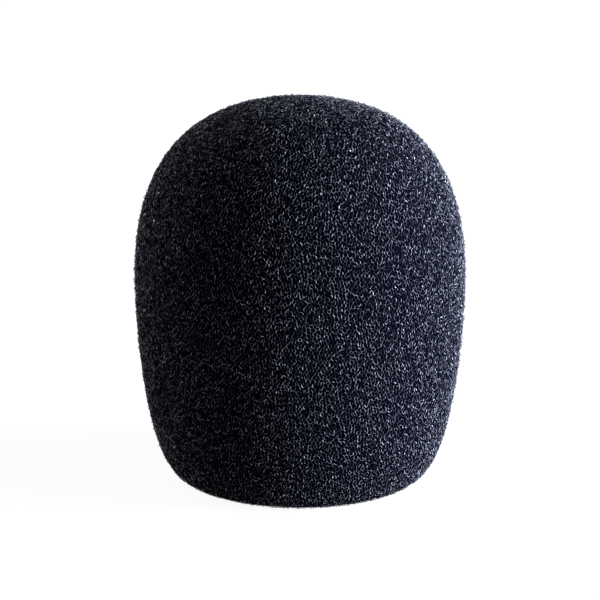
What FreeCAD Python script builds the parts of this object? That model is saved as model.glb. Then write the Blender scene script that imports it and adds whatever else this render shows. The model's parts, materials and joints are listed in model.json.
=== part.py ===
import FreeCAD, Part
import math
import os

import Sketcher
from FreeCAD import Vector

# Foam ball windscreen for a handheld vocal microphone.
#
# The real thing is one moulding of black open-cell foam: a tall rounded cap with broad shoulders, walls
# that close in slightly towards a rounded foot, a flat base, and a hollow with a domed end that takes the
# ball grille of the microphone.  The hollow narrows to a neck that grips the handle below the grille.
# Nothing else is fastened to it or held in it, so the part is one solid.
#
# Frame: origin at the centre of the flat base, +Z up along the axis of symmetry, millimetres.

doc = FreeCAD.newDocument("foam_windscreen")

# ---------------------------------------------------------------- driving dimensions
# alias, value, meaning; lengths in millimetres, the fullness values are shares of a curve's corner
SIZES = [
    ("pocket_diameter", 46.0, "relaxed hollow for the ball grille, stretches over about 51 mm"),
    ("pocket_depth", 66.5, "from the flat base up to the top of the domed hollow"),
    ("wall_thickness", 10.0, "foam between the hollow and the widest place outside"),
    ("crown_thickness", 10.0, "foam above the hollow, on the axis"),
    ("neck_diameter", 35.0, "relaxed neck that grips the handle below the grille"),
    ("neck_length", 12.0, "from the flat base up to the end of the neck"),
    ("throat_height", 6.0, "height of the cone between the neck and the hollow"),
    ("lip_radius", 1.5, "rounding of the mouth's edge"),
    ("base_land", 4.3, "width of the flat ring that it stands on"),
    ("belly_height", 40.4, "height of the widest place above the base"),
    ("crown_fullness", 0.70, "how far the flat of the crown reaches out; 0.55 is a round dome"),
    ("shoulder_fullness", 0.63, "how far the wall stands up before the shoulder turns in"),
    ("flank_fullness", 0.34, "how far the wall runs down below the widest place before it turns in"),
    ("foot_fullness", 0.74, "how far the foot stands out before it turns under"),
]

sheet = doc.addObject("Spreadsheet::Sheet", "Sizes")
for row, (alias, value, meaning) in enumerate(SIZES, start=1):
    sheet.set("A%d" % row, alias)
    sheet.set("B%d" % row, str(value))
    sheet.set("C%d" % row, meaning)
    sheet.setAlias("B%d" % row, alias)
doc.recompute()


def cell(alias):
    """The plain number that the sheet holds under an alias."""
    return float(sheet.get(alias))


# Sizes that follow from the driving ones: as formulas, for the dimensions of the sketches, and as
# numbers, for the shape that each sketch is first drawn with.
OUTER_RADIUS = "(Sizes.pocket_diameter / 2 + Sizes.wall_thickness)"
FULL_HEIGHT = "(Sizes.pocket_depth + Sizes.crown_thickness)"
FOOT_RADIUS = "(Sizes.neck_diameter / 2 + Sizes.lip_radius + Sizes.base_land)"

pocket_radius = cell("pocket_diameter") / 2
neck_radius = cell("neck_diameter") / 2
outer_radius = pocket_radius + cell("wall_thickness")
full_height = cell("pocket_depth") + cell("crown_thickness")
foot_radius = neck_radius + cell("lip_radius") + cell("base_land")

# How a sketch numbers the points of a line or curve, its own origin and its upright axis.
START, END, CENTRE = 1, 2, 3
ORIGIN = -1
AXIS = -2

FULL_TURN = 360
EQUAL_PULL = 1.0
TOLERANCE = 1e-6


# ---------------------------------------------------------------- helpers
def origin_plane(body, role):
    """One of the body's own origin planes."""
    for feature in body.Origin.OriginFeatures:
        if feature.Role == role:
            return feature
    raise RuntimeError("the body has no " + role)


def half_section(body, name):
    """A sketch in the body's XZ plane: its x is the distance from the axis, its y the height."""
    sketch = body.newObject("Sketcher::SketchObject", name)
    sketch.AttachmentSupport = [(origin_plane(body, "XZ_Plane"), "")]
    sketch.MapMode = "FlatFace"
    return sketch


def add_line(sketch, start, end):
    return sketch.addGeometry(Part.LineSegment(Vector(*start, 0), Vector(*end, 0)), False)


def add_curve(sketch, corners):
    """A cubic curve from the first to the last of four corners, with a construction circle on each."""
    points = [Vector(x, y, 0) for x, y in corners]
    bezier = Part.BezierCurve()
    bezier.setPoles(points)
    curve = sketch.addGeometry(bezier.toBSpline(), False)
    circles = []
    for point in points:
        circle = Part.Circle(point, Vector(0, 0, 1), EQUAL_PULL)
        circles.append(sketch.addGeometry(circle, True))
    for number, circle in enumerate(circles):
        join(sketch, "InternalAlignment:Sketcher::BSplineControlPoint", circle, CENTRE, curve, number)
    join(sketch, "Weight", circles[0], EQUAL_PULL)
    for circle in circles[1:]:
        join(sketch, "Equal", circles[0], circle)
    return curve, circles


def join(sketch, *constraint):
    """Adds one constraint and returns its number."""
    return sketch.addConstraint(Sketcher.Constraint(*constraint))


def drive(sketch, name, formula, *constraint):
    """Adds a dimension and ties it to the sheet."""
    index = join(sketch, *constraint)
    sketch.renameConstraint(index, name)
    sketch.setExpression("Constraints." + name, formula)


def turn(body, kind, name, section):
    """Turns a half section once round its upright axis, to add foam or to take it away."""
    feature = body.newObject(kind, name)
    feature.Profile = section
    feature.ReferenceAxis = (section, ["V_Axis"])
    feature.Angle = FULL_TURN
    return feature


# ---------------------------------------------------------------- foam body
def outer_section(body):
    """Half of the outside: base, one curve for foot and flank, one for shoulder and crown."""
    sketch = half_section(body, "OuterSection")
    belly = cell("belly_height")
    crown_reach = cell("crown_fullness") * outer_radius
    shoulder_rise = cell("shoulder_fullness") * (full_height - belly)
    flank_drop = cell("flank_fullness") * belly
    foot_reach = cell("foot_fullness") * (outer_radius - foot_radius)

    axis = add_line(sketch, (0, 0), (0, full_height))
    base = add_line(sketch, (0, 0), (foot_radius, 0))
    dome, dome_corners = add_curve(sketch, [
        (0, full_height), (crown_reach, full_height),
        (outer_radius, belly + shoulder_rise), (outer_radius, belly)])
    flank, flank_corners = add_curve(sketch, [
        (outer_radius, belly), (outer_radius, belly - flank_drop),
        (foot_radius + foot_reach, 0), (foot_radius, 0)])

    join(sketch, "Coincident", axis, START, ORIGIN, START)
    join(sketch, "Coincident", base, START, ORIGIN, START)
    join(sketch, "Vertical", axis)
    join(sketch, "Horizontal", base)
    join(sketch, "Coincident", dome, START, axis, END)
    join(sketch, "Coincident", flank, START, dome, END)
    join(sketch, "Coincident", flank, END, base, END)
    # The inner corners keep the outline level at the crown and the base, and upright at the belly.
    join(sketch, "Horizontal", axis, END, dome_corners[1], CENTRE)
    join(sketch, "Vertical", dome, END, dome_corners[2], CENTRE)
    join(sketch, "Vertical", dome, END, flank_corners[1], CENTRE)
    join(sketch, "Horizontal", base, END, flank_corners[2], CENTRE)

    drive(sketch, "height", FULL_HEIGHT, "Distance", axis, full_height)
    drive(sketch, "foot", FOOT_RADIUS, "Distance", base, foot_radius)
    drive(sketch, "radius", OUTER_RADIUS, "DistanceX", ORIGIN, START, dome, END, outer_radius)
    drive(sketch, "belly", "Sizes.belly_height", "DistanceY", ORIGIN, START, dome, END, belly)
    drive(sketch, "crown_reach", "Sizes.crown_fullness * " + OUTER_RADIUS,
          "DistanceX", axis, END, dome_corners[1], CENTRE, crown_reach)
    drive(sketch, "shoulder_rise", "Sizes.shoulder_fullness * (%s - Sizes.belly_height)" % FULL_HEIGHT,
          "DistanceY", dome, END, dome_corners[2], CENTRE, shoulder_rise)
    drive(sketch, "flank_drop", "Sizes.flank_fullness * Sizes.belly_height",
          "DistanceY", flank_corners[1], CENTRE, dome, END, flank_drop)
    drive(sketch, "foot_reach", "Sizes.foot_fullness * (%s - %s)" % (OUTER_RADIUS, FOOT_RADIUS),
          "DistanceX", base, END, flank_corners[2], CENTRE, foot_reach)
    return sketch


def hollow_section(body):
    """Half of the hollow: neck, cone of the throat, straight wall and domed end."""
    sketch = half_section(body, "HollowSection")
    neck_top = cell("neck_length")
    throat_top = neck_top + cell("throat_height")
    depth = cell("pocket_depth")
    dome_centre = depth - pocket_radius

    axis = add_line(sketch, (0, 0), (0, depth))
    mouth = add_line(sketch, (0, 0), (neck_radius, 0))
    neck = add_line(sketch, (neck_radius, 0), (neck_radius, neck_top))
    throat = add_line(sketch, (neck_radius, neck_top), (pocket_radius, throat_top))
    wall = add_line(sketch, (pocket_radius, throat_top), (pocket_radius, dome_centre))
    circle = Part.Circle(Vector(0, dome_centre, 0), Vector(0, 0, 1), pocket_radius)
    dome = sketch.addGeometry(Part.ArcOfCircle(circle, 0, math.pi / 2), False)

    join(sketch, "Coincident", axis, START, ORIGIN, START)
    join(sketch, "Coincident", mouth, START, ORIGIN, START)
    join(sketch, "Coincident", mouth, END, neck, START)
    join(sketch, "Coincident", neck, END, throat, START)
    join(sketch, "Coincident", throat, END, wall, START)
    join(sketch, "Tangent", wall, END, dome, START)
    join(sketch, "Coincident", dome, END, axis, END)
    join(sketch, "PointOnObject", dome, CENTRE, AXIS)
    join(sketch, "Vertical", axis)
    join(sketch, "Horizontal", mouth)
    join(sketch, "Vertical", neck)
    join(sketch, "Vertical", wall)

    drive(sketch, "depth", "Sizes.pocket_depth", "Distance", axis, depth)
    drive(sketch, "neck_radius", "Sizes.neck_diameter / 2", "Distance", mouth, neck_radius)
    drive(sketch, "neck_length", "Sizes.neck_length", "Distance", neck, neck_top)
    drive(sketch, "throat_height", "Sizes.throat_height",
          "DistanceY", neck, END, throat, END, throat_top - neck_top)
    drive(sketch, "pocket_radius", "Sizes.pocket_diameter / 2", "Radius", dome, pocket_radius)
    return sketch


def mouth_edge(shape):
    """Name of the sharp ring where the neck meets the flat base."""
    for number, edge in enumerate(shape.Edges, start=1):
        if edge.Degenerated or not isinstance(edge.Curve, Part.Circle):
            continue
        on_base = abs(edge.Curve.Center.z) < TOLERANCE
        if on_base and abs(edge.Curve.Radius - neck_radius) < TOLERANCE:
            return "Edge%d" % number
    raise RuntimeError("the mouth has no edge")


def foam_windscreen():
    body = doc.addObject("PartDesign::Body", "foam_windscreen")
    body.Label = "foam_windscreen"
    outside = turn(body, "PartDesign::Revolution", "Outside", outer_section(body))
    hollow = turn(body, "PartDesign::Groove", "Hollow", hollow_section(body))
    doc.recompute()
    if not hollow.Shape.Volume < outside.Shape.Volume:
        raise RuntimeError("the hollow cut nothing")
    lip = body.newObject("PartDesign::Fillet", "MouthLip")
    lip.Base = (hollow, [mouth_edge(hollow.Shape)])
    lip.setExpression("Radius", "Sizes.lip_radius")
    body.Placement = FreeCAD.Placement(Vector(0, 0, 0), FreeCAD.Rotation())
    return body


# ---------------------------------------------------------------- build, check, write
sub_parts = [foam_windscreen()]
doc.recompute()

for item in doc.Objects:
    for state in ("Invalid", "Error"):
        if state in item.State:
            raise RuntimeError("%s is %s" % (item.Name, state))

os.makedirs("parts", exist_ok=True)
for part in sub_parts:
    shape = part.Shape
    if shape.isNull() or not shape.isValid():
        raise RuntimeError(part.Label + " has no valid shape")
    box = shape.BoundBox
    print("%s: %d solid, volume %.0f mm3, box %.2f x %.2f x %.2f mm, base at %.3f" % (
        part.Label, len(shape.Solids), shape.Volume, box.XLength, box.YLength, box.ZLength, box.ZMin))
    shape.exportStep("parts/%s.step" % part.Label)
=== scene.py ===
# %% [markdown]
# # A foam windscreen for a handheld microphone
# The real object is one moulding of black open-cell foam: a round-topped plug with a hollow for
# the microphone's grille and a tight neck that grips it. The CAD model holds its solid shape.
# Foam is not a solid, though: it is a net of thin struts around empty cells, and that net is all
# that the eye sees. So this lesson grows a real net of struts over the whole skin, on a core
# painted dark as the shade of the cells further in, and paints shade and glints into the struts'
# colour too. A painted or bumped surface would be cheaper, but it has a smooth edge and no depth.
# Moulded foam keeps its own shape, so no cloth simulation is needed.
# Lengths are millimetres while the foam is worked out, and metres once a mesh is written.

# %% Open the frame and read the sizes
import json
import math

import bpy
import numpy as np
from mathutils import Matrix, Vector
from mathutils.geometry import delaunay_2d_cdt


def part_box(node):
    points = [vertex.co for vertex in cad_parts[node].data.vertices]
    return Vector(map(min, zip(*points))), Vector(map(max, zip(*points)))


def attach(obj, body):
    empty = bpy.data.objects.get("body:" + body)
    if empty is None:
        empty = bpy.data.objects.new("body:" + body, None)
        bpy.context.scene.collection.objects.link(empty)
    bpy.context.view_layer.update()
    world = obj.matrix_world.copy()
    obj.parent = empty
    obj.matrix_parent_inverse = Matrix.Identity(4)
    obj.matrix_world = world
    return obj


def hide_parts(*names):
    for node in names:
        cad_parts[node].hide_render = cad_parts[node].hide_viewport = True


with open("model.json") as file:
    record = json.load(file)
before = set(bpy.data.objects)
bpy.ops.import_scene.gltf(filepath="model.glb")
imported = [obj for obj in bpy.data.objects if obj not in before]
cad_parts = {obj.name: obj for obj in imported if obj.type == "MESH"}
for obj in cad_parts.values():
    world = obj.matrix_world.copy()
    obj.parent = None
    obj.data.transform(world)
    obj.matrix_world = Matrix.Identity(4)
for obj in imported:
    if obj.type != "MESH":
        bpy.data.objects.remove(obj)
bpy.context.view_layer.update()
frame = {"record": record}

MM = 0.001
NODE = "foam_windscreen"
low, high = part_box(NODE)
RADIUS = (high.x - low.x) / 2 / MM
HEIGHT = (high.z - low.z) / MM
neck_mount = next(m for m in frame["record"]["mounts"] if m["name"] == "neck_bore")
NECK_RADIUS = neck_mount["dims"]["r_mm"]
print(f"moulding {2 * RADIUS:.1f} mm across, {HEIGHT:.1f} mm tall, neck {2 * NECK_RADIUS:.1f} mm")

# %% [markdown]
# ## The outline
# The moulding is turned about its axis, so half of its section says everything. The outside is
# two smooth cubic curves that meet at the widest place, as the mould's maker would draw them.
# Inside there is a rounded lip, the straight neck, a short cone and a round-ended pocket. The
# same section later places the cells and the core.

# %% Draw half of the section
WALL = 10.0
BELLY_HEIGHT = 40.4
CROWN_FULLNESS = 0.70
SHOULDER_FULLNESS = 0.63
FLANK_FULLNESS = 0.34
FOOT_FULLNESS = 0.74
LIP_RADIUS = 1.5
BASE_LAND = 4.3
THROAT_HEIGHT = 6.0
CURVE_POINTS = 60
ARC_POINTS = 30
NECK_TOP = neck_mount["dims"]["length_mm"] + LIP_RADIUS
POCKET_RADIUS = RADIUS - WALL
POCKET_TOP = HEIGHT - WALL
FOOT_RADIUS = NECK_RADIUS + LIP_RADIUS + BASE_LAND


def bezier(*poles):
    """Points along the cubic curve with these four poles."""
    a, b, c, d = (np.array(pole, float) for pole in poles)
    t = np.linspace(0.0, 1.0, CURVE_POINTS)[:, None]
    s = 1.0 - t
    return s ** 3 * a + 3 * t * s ** 2 * b + 3 * t ** 2 * s * c + t ** 3 * d


def arc(centre, radius, start, end):
    """Points along a circle's arc, its ends given in degrees."""
    turn = np.radians(np.linspace(start, end, ARC_POINTS))
    return np.c_[centre[0] + radius * np.cos(turn), centre[1] + radius * np.sin(turn)]


def between(start, share, end):
    """The value that lies this share of the way from start to end."""
    return start + share * (end - start)


belly = (RADIUS, BELLY_HEIGHT)
upper = bezier(
    (0.0, HEIGHT),
    (CROWN_FULLNESS * RADIUS, HEIGHT),
    (RADIUS, between(BELLY_HEIGHT, SHOULDER_FULLNESS, HEIGHT)),
    belly,
)
lower = bezier(
    belly,
    (RADIUS, between(BELLY_HEIGHT, FLANK_FULLNESS, 0.0)),
    (between(FOOT_RADIUS, FOOT_FULLNESS, RADIUS), 0.0),
    (FOOT_RADIUS, 0.0),
)
lip = arc((NECK_RADIUS + LIP_RADIUS, LIP_RADIUS), LIP_RADIUS, 270.0, 180.0)
dome = arc((0.0, POCKET_TOP - POCKET_RADIUS), POCKET_RADIUS, 0.0, 90.0)
neck_end = np.array([[NECK_RADIUS, NECK_TOP]])
throat_end = np.array([[POCKET_RADIUS, NECK_TOP + THROAT_HEIGHT]])
section = np.vstack([upper, lower[1:], lip, neck_end, throat_end, dome])
steps = np.diff(section, axis=0)
lengths = np.hypot(steps[:, 0], steps[:, 1])
walk = np.r_[0.0, np.cumsum(lengths)]
NECK_WALK = walk[len(upper) + len(lower) - 1 + len(lip)]
print(f"{len(section)} points along {walk[-1]:.0f} mm of section")
print(f"the outside, the lip and the neck take {NECK_WALK:.0f} mm of it")

# %% [markdown]
# ## A flat map of the surface
# Cells have to be spread evenly over the whole moulding, inside and out. Its surface is laid flat
# for that, like a map of the world with one pole in the middle and the other far away. Such a map
# stretches large distances but keeps small shapes as they are, so cells that are well joined on
# the map are well joined on the foam too. It also has no seam, which an unrolled strip would
# have.

# %% Map the surface
FINE_STEP = 0.05


def into_foam(outline):
    """The direction into the foam at each point of an outline."""
    along = np.gradient(outline, axis=0)
    across = np.c_[along[:, 1], -along[:, 0]]
    return across / np.linalg.norm(across, axis=1)[:, None]


fine = np.arange(0.0, walk[-1], FINE_STEP)
fine_r, fine_z = (np.interp(fine, walk, column) for column in section.T)
inward = into_foam(np.c_[fine_r, fine_z])
safe_r = np.maximum(fine_r, FINE_STEP)
stretch = np.r_[0.0, np.cumsum(2 * FINE_STEP / (safe_r[1:] + safe_r[:-1]))]


def round_axis(r, turn, z):
    """Points this far from the axis, turned about it, at this height."""
    return np.c_[r * np.cos(turn), r * np.sin(turn), z]


def surface(along, turn):
    """Points on the surface, and the directions into the foam there."""
    r, z, in_r, in_z = (np.interp(along, fine, part) for part in (fine_r, fine_z, *inward.T))
    return round_axis(r, turn, z), round_axis(in_r, turn, in_z)


def to_map(along, turn):
    """Places on the map for these places on the surface."""
    far = np.exp(np.interp(along, fine, stretch))
    return np.c_[far * np.cos(turn), far * np.sin(turn)]


def from_map(spots):
    """How far along the section and round the axis these places on the map are."""
    away = np.hypot(*spots.T)
    return np.interp(np.log(away), stretch, fine), np.arctan2(spots[:, 1], spots[:, 0])


print(f"map of {walk[-1]:.0f} mm of section, scale from 1 to {math.exp(stretch[-1]):.0f}")

# %% [markdown]
# ## Scattering the cells
# Foam's bubbles swell until they meet, so their sizes are alike but their places aren't in rows.
# The middles are laid like the seeds of a sunflower, each turned by the golden angle from the
# last, which fills any round shape evenly. Then each is nudged at random and drawn halfway to the
# middle of its neighbours, which wipes out the spirals and keeps the sizes alike. The pocket,
# which is hardly seen, gets larger cells.

# %% Scatter the cells
CELL = 0.67
POCKET_SCALE = 2.2
JITTER = 0.24
ROUNDS = 2
PLACE_SEED = 3
GOLDEN_TURN = math.pi * (3 - math.sqrt(5))
PACKING = math.sqrt(3) / 2
TRIANGLE_EDGES = ((0, 1), (1, 2), (2, 0))
WHOLE_HULL = 0
NEARNESS = 0.0


def triangles(spots):
    """The triangles that join each place on the map to its neighbours."""
    places = [tuple(spot) for spot in spots.tolist()]
    _, _, faces, *_ = delaunay_2d_cdt(places, [], [], WHOLE_HULL, NEARNESS)
    return np.array(faces)


def scatter(size, chance):
    """Cells about this far apart: how far along the section and round the axis each is."""
    sizes = np.where(fine < NECK_WALK, size, size * POCKET_SCALE)
    crowd = np.r_[0.0, np.cumsum(2 * math.pi * fine_r * FINE_STEP / (PACKING * sizes ** 2))]
    number = int(crowd[-1])
    order = np.arange(number)
    along = np.interp(order + 0.5, crowd[1:], fine)
    nudge = JITTER * np.interp(along, fine, sizes)
    along = np.clip(along + nudge * chance.normal(size=number), FINE_STEP, walk[-1] - FINE_STEP)
    turn = GOLDEN_TURN * order + nudge * chance.normal(size=number) / np.interp(along, fine, safe_r)
    spots = to_map(along, turn)
    for _ in range(ROUNDS):
        three = triangles(spots)
        total = np.zeros_like(spots)
        count = np.zeros(number)
        for i, j in TRIANGLE_EDGES:
            np.add.at(total, three[:, i], spots[three[:, j]])
            np.add.at(count, three[:, i], 1)
        spots = (spots + total / np.maximum(count, 1)[:, None]) / 2
    return from_map(spots)


chance = np.random.default_rng(PLACE_SEED)
cell_along, cell_turn = scatter(CELL, chance)
three = triangles(to_map(cell_along, cell_turn))
cell_spot, cell_in = surface(cell_along, cell_turn)
print(f"{len(cell_spot)} cells, {(cell_along < NECK_WALK).sum()} of them outside or in the neck")

# %% [markdown]
# ## The corners of the cells
# Three neighbouring cells meet at a corner, in the middle of each triangle of the map. The
# mould's wall cuts the outermost cells at all heights, so every corner sinks by its own random
# depth. A few stand proud, which roughens the outline, but none on the base, where the foam is
# pressed flat. The depth, as a share of the skin, is kept for the colour, which it darkens as
# painted shade. Beyond the neck everything is larger by the pocket's scale.

# %% Place the corners
SKIN = 0.50
NET_DEPTH = -0.05
NET_JUMP = 0.32
PROUD = 0.30
PROUD_SHARE = 0.05
corner_scale = np.where(cell_along < NECK_WALK, 1.0, POCKET_SCALE)[three].mean(axis=1)
corner_in = cell_in[three].mean(axis=1)
corner_along = cell_along[three].mean(axis=1)
corner_depth = NET_DEPTH + NET_JUMP * chance.uniform(size=len(three))
off_base = np.clip(1.0 - corner_in[:, 2], 0.0, 1.0)
corner_depth -= PROUD * off_base * (chance.uniform(size=len(three)) < PROUD_SHARE)
on_top = cell_spot[three].mean(axis=1)
corners = on_top + corner_in * (corner_depth * corner_scale)[:, None]
highest, deepest = corner_depth.min(), corner_depth.max()
print(f"{len(corners)} corners, {highest:.2f} to {deepest:.2f} mm deep outside")

# %% [markdown]
# ## The struts round the cells
# Where two triangles share an edge, their corners are the two ends of one strut. Real struts are
# bent and three-cornered, and only those parts that face the right way shine, so foam shows as
# short bright arcs and not as a full net. Straight thin rods can't do that by themselves, so the
# shine is painted: every cell has a direction, mostly sideways, and its struts get a paler painted
# glint the more they lie on that side, each by its own random share.

# %% Join the corners into struts
# A strut's tone is a painted glint: a paler colour where a bent strut would shine.
GLINT_SIDE = 2.0
PAINTED_GLINT_LEAST = 0.4
PAINTED_GLINT_POWER = 2.7
BRIGHT_PAINTED_GLINT = 0.3
edges = np.sort(np.concatenate([three[:, pair] for pair in TRIANGLE_EDGES]), axis=1)
owner = np.tile(np.arange(len(three)), 3)
order = np.lexsort(edges.T[::-1])
edges, owner = edges[order], owner[order]
shared = np.where((edges[1:] == edges[:-1]).all(axis=1))[0]
joined = np.stack([owner[shared], owner[shared + 1]], axis=1)

sideways = round_axis(1.0, cell_turn + math.pi / 2, np.zeros(len(cell_turn)))
glint = GLINT_SIDE * sideways + chance.normal(size=sideways.shape)
glint /= np.linalg.norm(glint, axis=1)[:, None]
# Painted glint: a strut is paler the more it lies on its cell's glint side, times a random share.
painted_glint = np.zeros(len(joined))
for cell in edges[shared].T:
    toward = on_top[joined].mean(axis=1) - cell_spot[cell]
    toward /= np.linalg.norm(toward, axis=1)[:, None]
    painted_glint = np.maximum(painted_glint, (toward * glint[cell]).sum(axis=1))
painted_glint = (painted_glint * chance.uniform(PAINTED_GLINT_LEAST, 1.0, len(painted_glint))) ** PAINTED_GLINT_POWER
net = [corners[joined], corner_depth[joined], painted_glint, corner_along[joined].mean(axis=1)]
print(f"{len(painted_glint)} struts, {(painted_glint > BRIGHT_PAINTED_GLINT).mean():.2f} of them bright")

# %% [markdown]
# ## The struts that go in
# A fourth strut leaves each corner for the cells below. Seen from outside it is mostly hidden by
# its own corner, so only some are made, leaning by chance, and all of them are dull, with only a
# weak painted glint. Then everything is sorted into the outside with the neck, and the pocket.

# %% Add the struts that go in
DROP = 0.40
DROP_LEAN = 0.20
DROP_SHARE = 0.6
DROP_PAINTED_GLINT = 0.5
some = np.where(chance.uniform(size=len(corners)) < DROP_SHARE)[0]
leaning = corner_in[some] + DROP_LEAN * chance.normal(size=(len(some), 3))
below = corners[some] + leaning * (DROP * corner_scale[some])[:, None]
# The struts that go in get only a weak painted glint.
drops = [
    np.stack([corners[some], below], axis=1),
    np.stack([corner_depth[some], corner_depth[some] + DROP], axis=1),
    chance.uniform(0.0, DROP_PAINTED_GLINT, len(some)) ** PAINTED_GLINT_POWER,
    corner_along[some],
]
ends, depth, painted_glint, along = (np.concatenate(pair) for pair in zip(net, drops))
# The depth as a share of the skin; it darkens the colour as painted shade.
sunk = np.clip(depth / SKIN, 0.0, 1.0)
outer = [part[along < NECK_WALK] for part in (ends, sunk, painted_glint, along)]
pocket = [part[along >= NECK_WALK] for part in (ends, sunk, painted_glint, along)]
print(f"{len(outer[0])} struts outside and in the neck, {len(pocket[0])} in the pocket")

# %% [markdown]
# ## Small helpers for node trees
# The struts' shape and their finish are both built as node trees. These few functions add a node,
# read or store a value that a mesh carries, do one step of arithmetic and blend two values, so
# that the trees below read like sentences.

# %% Write the helpers
def add(tree, kind, **values):
    """A new node with these inputs, by name."""
    new = tree.nodes.new(kind)
    for name, value in values.items():
        new.inputs[name.replace("_", " ")].default_value = value
    return new


def attribute(tree, name):
    """The number that each point of the mesh carries under this name."""
    read = add(tree, "GeometryNodeInputNamedAttribute", Name=name)
    read.data_type = "FLOAT"
    return read.outputs["Attribute"]


def store(tree, geometry, name, value, data_type="FLOAT", domain="POINT"):
    """The geometry, now carrying this value under this name."""
    new = add(tree, "GeometryNodeStoreNamedAttribute", Name=name)
    new.data_type = data_type
    new.domain = domain
    tree.links.new(geometry, new.inputs["Geometry"])
    tree.links.new(value, new.inputs["Value"])
    return new.outputs["Geometry"]


def maths(tree, operation, a, b, c=0.0):
    """One step of arithmetic on numbers or on the outputs of other nodes."""
    new = tree.nodes.new("ShaderNodeMath")
    new.operation = operation
    for socket, value in zip(new.inputs, (a, b, c)):
        if isinstance(value, bpy.types.NodeSocket):
            tree.links.new(value, socket)
        else:
            socket.default_value = value
    return new.outputs[0]


def mix(tree, kind, share, a, b):
    """A blend from a to b by this share. The kind is Float or Color."""
    new = tree.nodes.new("ShaderNodeMix")
    new.data_type = {"Float": "FLOAT", "Color": "RGBA"}[kind]
    inputs = {socket.identifier: socket for socket in new.inputs}
    outputs = {socket.identifier: socket for socket in new.outputs}
    for name, source in (("Factor_Float", share), (f"A_{kind}", a), (f"B_{kind}", b)):
        tree.links.new(source, inputs[name])
    return outputs[f"Result_{kind}"]


print("helpers: add, attribute, store, maths, mix")

# %% [markdown]
# ## From lines to struts
# So far a strut is a line. Geometry Nodes turn each line into a thin three-sided rod, because a
# strut is the three-cornered web left between three bubbles, and three sides cost the least where
# there are so many of them. Each line carries how deep its ends lie, which drives the painted
# shade, its painted glint and a thickness, which scales its rod. A UV map is laid out by depth and
# painted glint, as a painter's palette is, so that the struts' colours can be baked without
# unwrapping a million faces.

# %% Build the strut tree
SIDES = 3
STRUT_RADIUS = 0.064
UV_MARGIN = 0.03
UV_STEP = 0.02


def strut_tree():
    """Lines in, thin rods with a UV map out."""
    tree = bpy.data.node_groups.new("foam_struts", "GeometryNodeTree")
    for name, kind in (
        ("Geometry", "NodeSocketGeometry"),
        ("Strut radius", "NodeSocketFloat"),
        ("Sides", "NodeSocketInt"),
        ("Material", "NodeSocketMaterial"),
    ):
        tree.interface.new_socket(name, in_out="INPUT", socket_type=kind)
    tree.interface.new_socket("Geometry", in_out="OUTPUT", socket_type="NodeSocketGeometry")
    link = tree.links.new
    given = tree.nodes.new("NodeGroupInput")
    lines = tree.nodes.new("GeometryNodeMeshToCurve")
    link(given.outputs["Geometry"], lines.inputs["Mesh"])
    round_it = tree.nodes.new("GeometryNodeCurvePrimitiveCircle")
    link(given.outputs["Strut radius"], round_it.inputs["Radius"])
    link(given.outputs["Sides"], round_it.inputs["Resolution"])
    number = tree.nodes.new("GeometryNodeInputIndex").outputs[0]
    profile = store(tree, round_it.outputs["Curve"], "side", number)
    rods = add(tree, "GeometryNodeCurveToMesh", Fill_Caps=True)
    link(lines.outputs["Curve"], rods.inputs["Curve"])
    link(attribute(tree, "thickness"), rods.inputs["Scale"])
    link(profile, rods.inputs["Profile Curve"])
    side = attribute(tree, "side")
    across = maths(tree, "MODULO", side, 2.0)
    room = 1.0 - 2 * UV_MARGIN
    # The map's two axes are depth, which sets the painted shade, and the painted glint.
    u = maths(tree, "MULTIPLY_ADD", attribute(tree, "sunk"), room, UV_MARGIN)
    v = maths(tree, "MULTIPLY_ADD", attribute(tree, "painted_glint"), room, UV_MARGIN)
    place = tree.nodes.new("ShaderNodeCombineXYZ")
    link(maths(tree, "MULTIPLY_ADD", across, UV_STEP / 2, u), place.inputs["X"])
    link(maths(tree, "MULTIPLY_ADD", side, UV_STEP / 2, v), place.inputs["Y"])
    mapped = store(tree, rods.outputs["Mesh"], "OFBake", place.outputs[0], "FLOAT2", "CORNER")
    without_side = add(tree, "GeometryNodeRemoveAttribute", Name="side")
    link(mapped, without_side.inputs["Geometry"])
    smooth = tree.nodes.new("GeometryNodeSetShadeSmooth")
    link(without_side.outputs["Geometry"], smooth.inputs["Geometry"])
    real = tree.nodes.new("GeometryNodeRealizeInstances")
    link(smooth.outputs["Geometry"], real.inputs["Geometry"])
    dress = tree.nodes.new("GeometryNodeSetMaterial")
    link(real.outputs["Geometry"], dress.inputs["Geometry"])
    link(given.outputs["Material"], dress.inputs["Material"])
    link(dress.outputs["Geometry"], tree.nodes.new("NodeGroupOutput").inputs["Geometry"])
    return tree


struts_of = strut_tree()
print(f"strut tree with {len(struts_of.nodes)} nodes")

# %% [markdown]
# ## The finish of the foam
# The foam is black all through, with a touch of blue, but it doesn't look evenly black. The
# outermost struts, cut smooth by the mould's wall, catch the lamp, while those below lie in
# shadow and only swallow light. One node group paints both into the colour, darker with depth as
# painted shade and paler with each strut's painted glint. It makes a roughness and a gloss from
# the same values, and both materials of the foam use it. The foam itself is quite matt, and the
# gloss drives a thin coat on top.

# %% Make the tone group
# The bright colour is a painted glint and the deep colour is painted shade; the dull colour is the
# foam's own.
PAINTED_GLINT_COLOUR = (0.76, 0.76, 0.85, 1.0)
DULL_COLOUR = (0.013, 0.015, 0.030, 1.0)
PAINTED_SHADE_COLOUR = (0.002, 0.0024, 0.006, 1.0)
CUT_ROUGHNESS = 0.35
DEEP_ROUGHNESS = 0.95
GLOSS_IOR = 2.1
GLOSS_ROUGHNESS = 0.26
LIT_DEPTH = 0.12
DARK_DEPTH = 0.9


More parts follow.
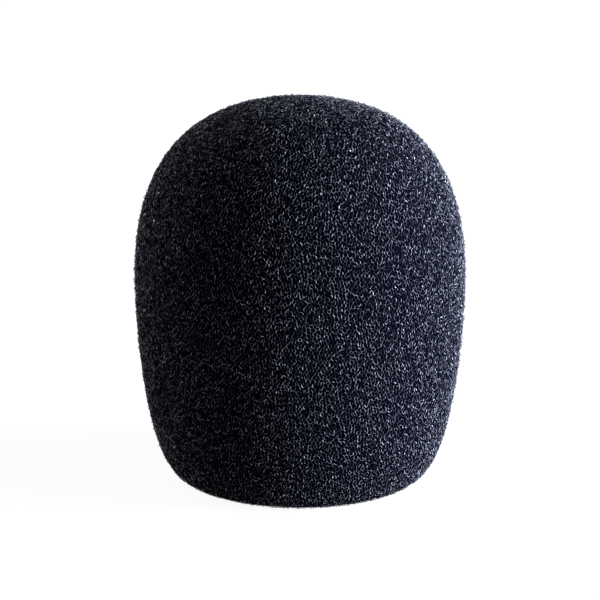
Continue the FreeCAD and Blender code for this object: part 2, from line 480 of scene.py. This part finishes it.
def shade_and_glint_group():
    """Depth and painted glint in; colour with painted shade and glint, roughness and gloss out."""
    tree = bpy.data.node_groups.new("foam_shade_and_glint", "ShaderNodeTree")
    for name, kind, value in (
        ("Sunk", "NodeSocketFloat", 1.0),
        ("Painted glint", "NodeSocketFloat", 0.5),
        ("Painted glint colour", "NodeSocketColor", PAINTED_GLINT_COLOUR),
        ("Dull colour", "NodeSocketColor", DULL_COLOUR),
        ("Painted shade colour", "NodeSocketColor", PAINTED_SHADE_COLOUR),
        ("Cut roughness", "NodeSocketFloat", CUT_ROUGHNESS),
        ("Deep roughness", "NodeSocketFloat", DEEP_ROUGHNESS),
    ):
        tree.interface.new_socket(name, in_out="INPUT", socket_type=kind).default_value = value
    tree.interface.new_socket("Colour", in_out="OUTPUT", socket_type="NodeSocketColor")
    tree.interface.new_socket("Roughness", in_out="OUTPUT", socket_type="NodeSocketFloat")
    tree.interface.new_socket("Gloss", in_out="OUTPUT", socket_type="NodeSocketFloat")
    link = tree.links.new
    given = tree.nodes.new("NodeGroupInput").outputs
    shown = tree.nodes.new("NodeGroupOutput").inputs
    fade = add(
        tree,
        "ShaderNodeMapRange",
        From_Min=LIT_DEPTH,
        From_Max=DARK_DEPTH,
        To_Min=1.0,
        To_Max=0.0,
    )
    fade.interpolation_type = "SMOOTHSTEP"
    link(given["Sunk"], fade.inputs["Value"])
    lit = fade.outputs["Result"]
    # Painted glint pales the dull colour; painted shade darkens it with depth to the deep colour.
    colour = mix(tree, "Color", given["Painted glint"], given["Dull colour"], given["Painted glint colour"])
    link(mix(tree, "Color", lit, given["Painted shade colour"], colour), shown["Colour"])
    rough = mix(tree, "Float", given["Painted glint"], given["Deep roughness"], given["Cut roughness"])
    link(mix(tree, "Float", lit, given["Deep roughness"], rough), shown["Roughness"])
    link(maths(tree, "MULTIPLY", lit, given["Painted glint"]), shown["Gloss"])
    return tree


foam_shade_and_glint = shade_and_glint_group()
print(f"tone group with {len(foam_shade_and_glint.nodes)} nodes")

# %% [markdown]
# ## The two materials
# The struts read their depth, which drives the painted shade, and their painted glint from the
# values they carry. The core lies below them all.
# It is dull and takes the deep end of the same group, painted shade. A Voronoi mottle at the size
# of the cells feeds its depth, meant to read as more hollows, but all of it lies past the depth
# where the painted shade is full, so the core comes out one even dark.

# %% Make the materials
# The core sits at the depth of full painted shade, which covers whatever painted glint it is given.
CORE_SUNK = 0.9
CORE_PAINTED_GLINT = 0.5


def foam_material(name):
    """A material that takes its colour, roughness and gloss from the tone group."""
    material = bpy.data.materials.new(name)
    material.use_nodes = True
    tree = material.node_tree
    shader = tree.nodes["Principled BSDF"]
    shader.inputs["Specular IOR Level"].default_value = 0.0
    shade_and_glint_node = tree.nodes.new("ShaderNodeGroup")
    shade_and_glint_node.node_tree = foam_shade_and_glint
    tree.links.new(shade_and_glint_node.outputs["Colour"], shader.inputs["Base Color"])
    tree.links.new(shade_and_glint_node.outputs["Roughness"], shader.inputs["Roughness"])
    return material, tree, shader, shade_and_glint_node


strut_finish, tree, shader, shade_and_glint_node = foam_material("black_foam_struts")
shader.inputs["Coat IOR"].default_value = GLOSS_IOR
shader.inputs["Coat Roughness"].default_value = GLOSS_ROUGHNESS
tree.links.new(shade_and_glint_node.outputs["Gloss"], shader.inputs["Coat Weight"])
# The struts carry their painted glint and their depth, which sets the painted shade.
for name, socket in (("sunk", "Sunk"), ("painted_glint", "Painted glint")):
    read = tree.nodes.new("ShaderNodeAttribute")
    read.attribute_name = name
    tree.links.new(read.outputs["Fac"], shade_and_glint_node.inputs[socket])

core_finish, tree, shader, shade_and_glint_node = foam_material("black_foam_core")
# The core takes the deep end of the group: painted shade for the cells further in.
shade_and_glint_node.inputs["Painted glint"].default_value = CORE_PAINTED_GLINT
coordinates = tree.nodes.new("ShaderNodeTexCoord")
cells = add(tree, "ShaderNodeTexVoronoi", Scale=1.0 / (CELL * MM))
tree.links.new(coordinates.outputs["Object"], cells.inputs["Vector"])
hollow_shade = add(tree, "ShaderNodeMapRange", To_Min=CORE_SUNK, To_Max=1.0)
tree.links.new(cells.outputs["Distance"], hollow_shade.inputs["Value"])
tree.links.new(hollow_shade.outputs["Result"], shade_and_glint_node.inputs["Sunk"])
print("materials:", strut_finish.name, core_finish.name)

# %% [markdown]
# ## The struts as pieces
# It is one moulding, but a mesh of well over a million faces is hard on every program that opens
# it. So the struts are written as bands, from the crown down the outside, under the base and up
# into the pocket, each under 200,000 triangles. Each rod has three sides and two caps, eight
# triangles. The stronger a strut's painted glint, the thicker it is, so the pale painted arcs
# stand apart. All bands ride on the one body and take the struts' material.

# %% Write the bands of struts
MOST_STRUTS = 24000
THIN = 0.4
THICK = 1.15
THICKNESS_SPREAD = (0.85, 1.15)
THICKNESS_SEED = 2
chance = np.random.default_rng(THICKNESS_SEED)


def band(name, ends, sunk, painted_glint):
    """One band of struts as a plain mesh that rides on the body."""
    count = len(ends)
    # Thickness follows the painted glint, so the pale painted arcs stand apart.
    thickness = between(THIN, np.sqrt(painted_glint), THICK) * chance.uniform(*THICKNESS_SPREAD, count)
    mesh = bpy.data.meshes.new(name + "_lines")
    mesh.vertices.add(2 * count)
    mesh.vertices.foreach_set("co", (ends * MM).ravel())
    mesh.edges.add(count)
    mesh.edges.foreach_set("vertices", np.arange(2 * count, dtype=np.int32))
    own = {
        "sunk": sunk.ravel(),
        "painted_glint": np.repeat(painted_glint, 2),
        "thickness": np.repeat(thickness, 2),
    }
    for key, values in own.items():
        layer = mesh.attributes.new(key, "FLOAT", "POINT")
        layer.data.foreach_set("value", values.astype(np.float32))
    mesh.update()
    piece = bpy.data.objects.new(name, mesh)
    bpy.context.scene.collection.objects.link(piece)
    grow = piece.modifiers.new("struts", "NODES")
    grow.node_group = struts_of
    values = {"Strut radius": STRUT_RADIUS * MM, "Sides": SIDES, "Material": strut_finish}
    for item in struts_of.interface.items_tree:
        if item.name in values:
            grow[item.identifier] = values[item.name]
    shown = piece.evaluated_get(bpy.context.evaluated_depsgraph_get())
    solid = bpy.data.meshes.new_from_object(shown)
    piece.modifiers.clear()
    piece.data = solid
    solid.name = name
    bpy.data.meshes.remove(mesh)
    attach(piece, "root")
    return piece


def bands(name, ends, sunk, painted_glint, along):
    """These struts in order along the section, split evenly into as few bands as will do."""
    order = np.argsort(along, kind="stable")
    number = math.ceil(len(order) / MOST_STRUTS)
    return [
        band(f"{name}_{k + 1}", ends[part], sunk[part], painted_glint[part])
        for k, part in enumerate(np.array_split(order, number))
    ]


foam_bands = bands("foam_skin", *outer) + bands("foam_pocket", *pocket)
for piece in foam_bands:
    print(f"{piece.name}: {len(piece.data.polygons)} faces")

# %% [markdown]
# ## The core
# Behind the skin's struts lie the moulding's deeper cells, which only show as dark, being in
# shade. One closed surface stands for them and for the CAD's solid, coloured with painted shade:
# the same section, drawn a little inside the foam and turned about the axis. It lies just deep
# enough for the struts to stand clear, and shallow enough to keep the outline dark and closed.

# %% Turn the core
CORE_STEPS = 180
CORE_DEPTH = 0.25
SAME_PLACE = 1e-3


def inset_section():
    """The section moved a little into the foam, with both its ends kept on the axis."""
    depth = np.where(walk < NECK_WALK, CORE_DEPTH, CORE_DEPTH * POCKET_SCALE)
    moved = section + into_foam(section) * depth[:, None]
    moved[0, 0] = moved[-1, 0] = 0.0
    distinct = np.r_[True, np.linalg.norm(np.diff(moved, axis=0), axis=1) > SAME_PLACE]
    return moved[distinct]


def turned(name, outline, material):
    """A closed mesh: the outline turned about the axis, with one vertex at each pole."""
    rings = outline[1:-1]
    angle = np.linspace(0.0, 2 * math.pi, CORE_STEPS, endpoint=False)
    spots = [(0.0, 0.0, outline[0, 1])]
    spots += [(r * math.cos(a), r * math.sin(a), z) for r, z in rings for a in angle]
    spots.append((0.0, 0.0, outline[-1, 1]))
    last = len(spots) - 1
    around = np.arange(CORE_STEPS)
    after = (around + 1) % CORE_STEPS
    polygons = [(0, 1 + k, 1 + n) for k, n in zip(around, after)]
    places = [((k + 0.5, 0), (k, 1), (k + 1, 1)) for k in around]
    for ring in range(len(rings) - 1):
        one = 1 + ring * CORE_STEPS
        two = one + CORE_STEPS
        polygons += [(one + k, two + k, two + n, one + n) for k, n in zip(around, after)]
        places += [
            ((k, ring + 1), (k, ring + 2), (k + 1, ring + 2), (k + 1, ring + 1)) for k in around
        ]
    end = last - CORE_STEPS
    polygons += [(end + k, last, end + n) for k, n in zip(around, after)]
    places += [((k, len(rings)), (k + 0.5, len(rings) + 1), (k + 1, len(rings))) for k in around]
    mesh = bpy.data.meshes.new(name)
    faces = [tuple(int(v) for v in polygon) for polygon in polygons]
    mesh.from_pydata([Vector(spot) * MM for spot in spots], [], faces)
    flat = np.concatenate([np.array(place, float) for place in places])
    flat /= (CORE_STEPS, len(rings) + 1)
    mesh.uv_layers.new(name="OFBake").uv.foreach_set("vector", flat.astype(np.float32).ravel())
    mesh.polygons.foreach_set("use_smooth", [True] * len(mesh.polygons))
    mesh.materials.append(material)
    mesh.update()
    piece = bpy.data.objects.new(name, mesh)
    bpy.context.scene.collection.objects.link(piece)
    return piece


core = turned("foam_core", inset_section(), core_finish)
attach(core, "root")
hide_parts(NODE)
print(f"core with {len(core.data.polygons)} faces")

# %% [markdown]
# ## Floor and backdrop
# The windscreen stands on a plain white sweep. To the camera and to reflections the floor is
# white, close to the object a little less, so that its soft shadow still shows. For all other
# light it is a plain matt grey that throws only a little back up.

# %% Lay the floor
FLOOR_SIZE = 4.0
WHITE_NEAR = 0.93
SHADOW_START = 0.10
SHADOW_END = 0.45
PAPER_COLOUR = (0.2, 0.2, 0.2, 1.0)
PAPER_ROUGHNESS = 0.9


def seen_directly(tree):
    """One for the camera, for reflections and through glass, and nought for all other light."""
    ray = tree.nodes.new("ShaderNodeLightPath").outputs
    shiny = maths(tree, "MAXIMUM", ray["Is Glossy Ray"], ray["Is Transmission Ray"])
    return maths(tree, "MAXIMUM", shiny, ray["Is Camera Ray"])


plane = bpy.data.meshes.new("floor")
half = FLOOR_SIZE / 2
square = [(-half, -half, 0), (half, -half, 0), (half, half, 0), (-half, half, 0)]
plane.from_pydata(square, [], [(0, 1, 2, 3)])
floor = bpy.data.objects.new("floor", plane)
bpy.context.scene.collection.objects.link(floor)

paper = bpy.data.materials.new("white_paper")
paper.use_nodes = True
tree = paper.node_tree
matt = tree.nodes["Principled BSDF"]
matt.inputs["Base Color"].default_value = PAPER_COLOUR
matt.inputs["Roughness"].default_value = PAPER_ROUGHNESS
matt.inputs["Specular IOR Level"].default_value = 0.0
spot = tree.nodes.new("ShaderNodeTexCoord")
away = tree.nodes.new("ShaderNodeVectorMath")
away.operation = "LENGTH"
tree.links.new(spot.outputs["Object"], away.inputs[0])
fade = add(
    tree,
    "ShaderNodeMapRange",
    From_Min=SHADOW_START,
    From_Max=SHADOW_END,
    To_Min=WHITE_NEAR,
    To_Max=1.0,
)
tree.links.new(away.outputs["Value"], fade.inputs["Value"])
glow = tree.nodes.new("ShaderNodeEmission")
strength = maths(tree, "MULTIPLY", fade.outputs["Result"], seen_directly(tree))
tree.links.new(strength, glow.inputs["Strength"])
both = tree.nodes.new("ShaderNodeAddShader")
tree.links.new(matt.outputs[0], both.inputs[0])
tree.links.new(glow.outputs[0], both.inputs[1])
tree.links.new(both.outputs[0], tree.nodes["Material Output"].inputs["Surface"])
plane.materials.append(paper)
print(f"floor {FLOOR_SIZE:.0f} m wide")

# %% [markdown]
# ## The room
# To the camera the room is white too, and so it is to reflections and to see-through rays, so
# that whatever shines shows the same white. For all other light it is dim, as in a studio with
# dark flags round a dark product, or the hollows of the foam would turn grey.

# %% Light the room
ROOM_LIGHT = 0.085
ROOM_COLOUR = (0.78, 0.86, 1.0, 1.0)
world = bpy.data.worlds.new("studio")
world.use_nodes = True
bpy.context.scene.world = world
tree = world.node_tree
room = tree.nodes["Background"]
room.inputs["Color"].default_value = ROOM_COLOUR
room.inputs["Strength"].default_value = ROOM_LIGHT
white = add(tree, "ShaderNodeBackground", Color=(1.0, 1.0, 1.0, 1.0), Strength=1.0)
pick = tree.nodes.new("ShaderNodeMixShader")
tree.links.new(seen_directly(tree), pick.inputs[0])
tree.links.new(room.outputs[0], pick.inputs[1])
tree.links.new(white.outputs[0], pick.inputs[2])
tree.links.new(pick.outputs[0], tree.nodes["World Output"].inputs["Surface"])
print(f"room light {ROOM_LIGHT}, white to the camera and to reflections")

# %% [markdown]
# ## Lamps
# One broad, low soft box stands to the right and a little above. Its cool light grazes the front,
# so only the outermost struts catch it and every hollow stays dark, which is what makes foam read
# as foam; the painted shade in the foam's colour deepens those hollows further. A much weaker
# lamp behind on the left draws a faint edge on the dark side.

# %% Hang the lamps
LAMP_DISTANCE = 0.55
KEY_AZIMUTH = 86.0
KEY_ELEVATION = 7.5
KEY_WIDTH = 0.45
KEY_HEIGHT = 0.21
KEY_POWER = 12.0
KEY_COLOUR = (0.75, 0.82, 1.0)
EDGE_AZIMUTH = -125.0
EDGE_ELEVATION = 25.0
EDGE_SIZE = 0.20
EDGE_POWER = 1.0
EDGE_COLOUR = (0.80, 0.87, 1.0)
AIM = Vector((0.0, 0.0, HEIGHT / 2 * MM))


def from_side(azimuth, elevation, distance):
    """A place at this angle to the right of the front, seen from the middle of the object."""
    a, e = math.radians(azimuth), math.radians(elevation)
    level = math.cos(e)
    return AIM + distance * Vector((level * math.sin(a), -level * math.cos(a), math.sin(e)))


def lamp(name, azimuth, elevation, size, power, colour):
    """A rectangular lamp, its size given as width and height, that faces the object."""
    light = bpy.data.lights.new(name, "AREA")
    light.shape = "RECTANGLE"
    light.size, light.size_y = size
    light.energy = power
    light.color = colour
    holder = bpy.data.objects.new(name, light)
    holder.location = from_side(azimuth, elevation, LAMP_DISTANCE)
    holder.rotation_euler = (AIM - holder.location).to_track_quat("-Z", "Y").to_euler()
    bpy.context.scene.collection.objects.link(holder)


lamp("key_lamp", KEY_AZIMUTH, KEY_ELEVATION, (KEY_WIDTH, KEY_HEIGHT), KEY_POWER, KEY_COLOUR)
lamp("edge_lamp", EDGE_AZIMUTH, EDGE_ELEVATION, (EDGE_SIZE, EDGE_SIZE), EDGE_POWER, EDGE_COLOUR)
print(f"lamps of {KEY_POWER} W and {EDGE_POWER} W, {LAMP_DISTANCE} m away")

# %% [markdown]
# ## Camera
# A long lens looks slightly down at the windscreen from the front, as a product shot does. It
# aims a little below the middle, which leaves more room under the object than over it.

# %% Set the camera
CAMERA_DISTANCE = 0.45
CAMERA_TILT = 14.5
FRAME_WIDTH = 0.12014
AIM_DROP = 0.0026
SENSOR_WIDTH = 36.0
NEAREST_SEEN = 0.01
camera_data = bpy.data.cameras.new("camera")
camera = bpy.data.objects.new("camera", camera_data)
camera.location = from_side(0.0, CAMERA_TILT, CAMERA_DISTANCE)
target = AIM - Vector((0.0, 0.0, AIM_DROP))
camera.rotation_euler = (target - camera.location).to_track_quat("-Z", "Y").to_euler()
camera_data.sensor_width = SENSOR_WIDTH
camera_data.lens = SENSOR_WIDTH * CAMERA_DISTANCE / FRAME_WIDTH
camera_data.clip_start = NEAREST_SEEN
bpy.context.scene.collection.objects.link(camera)
bpy.context.scene.camera = camera
bpy.context.scene.view_settings.view_transform = "Standard"
print(f"lens {camera_data.lens:.1f} mm at {CAMERA_DISTANCE} m")
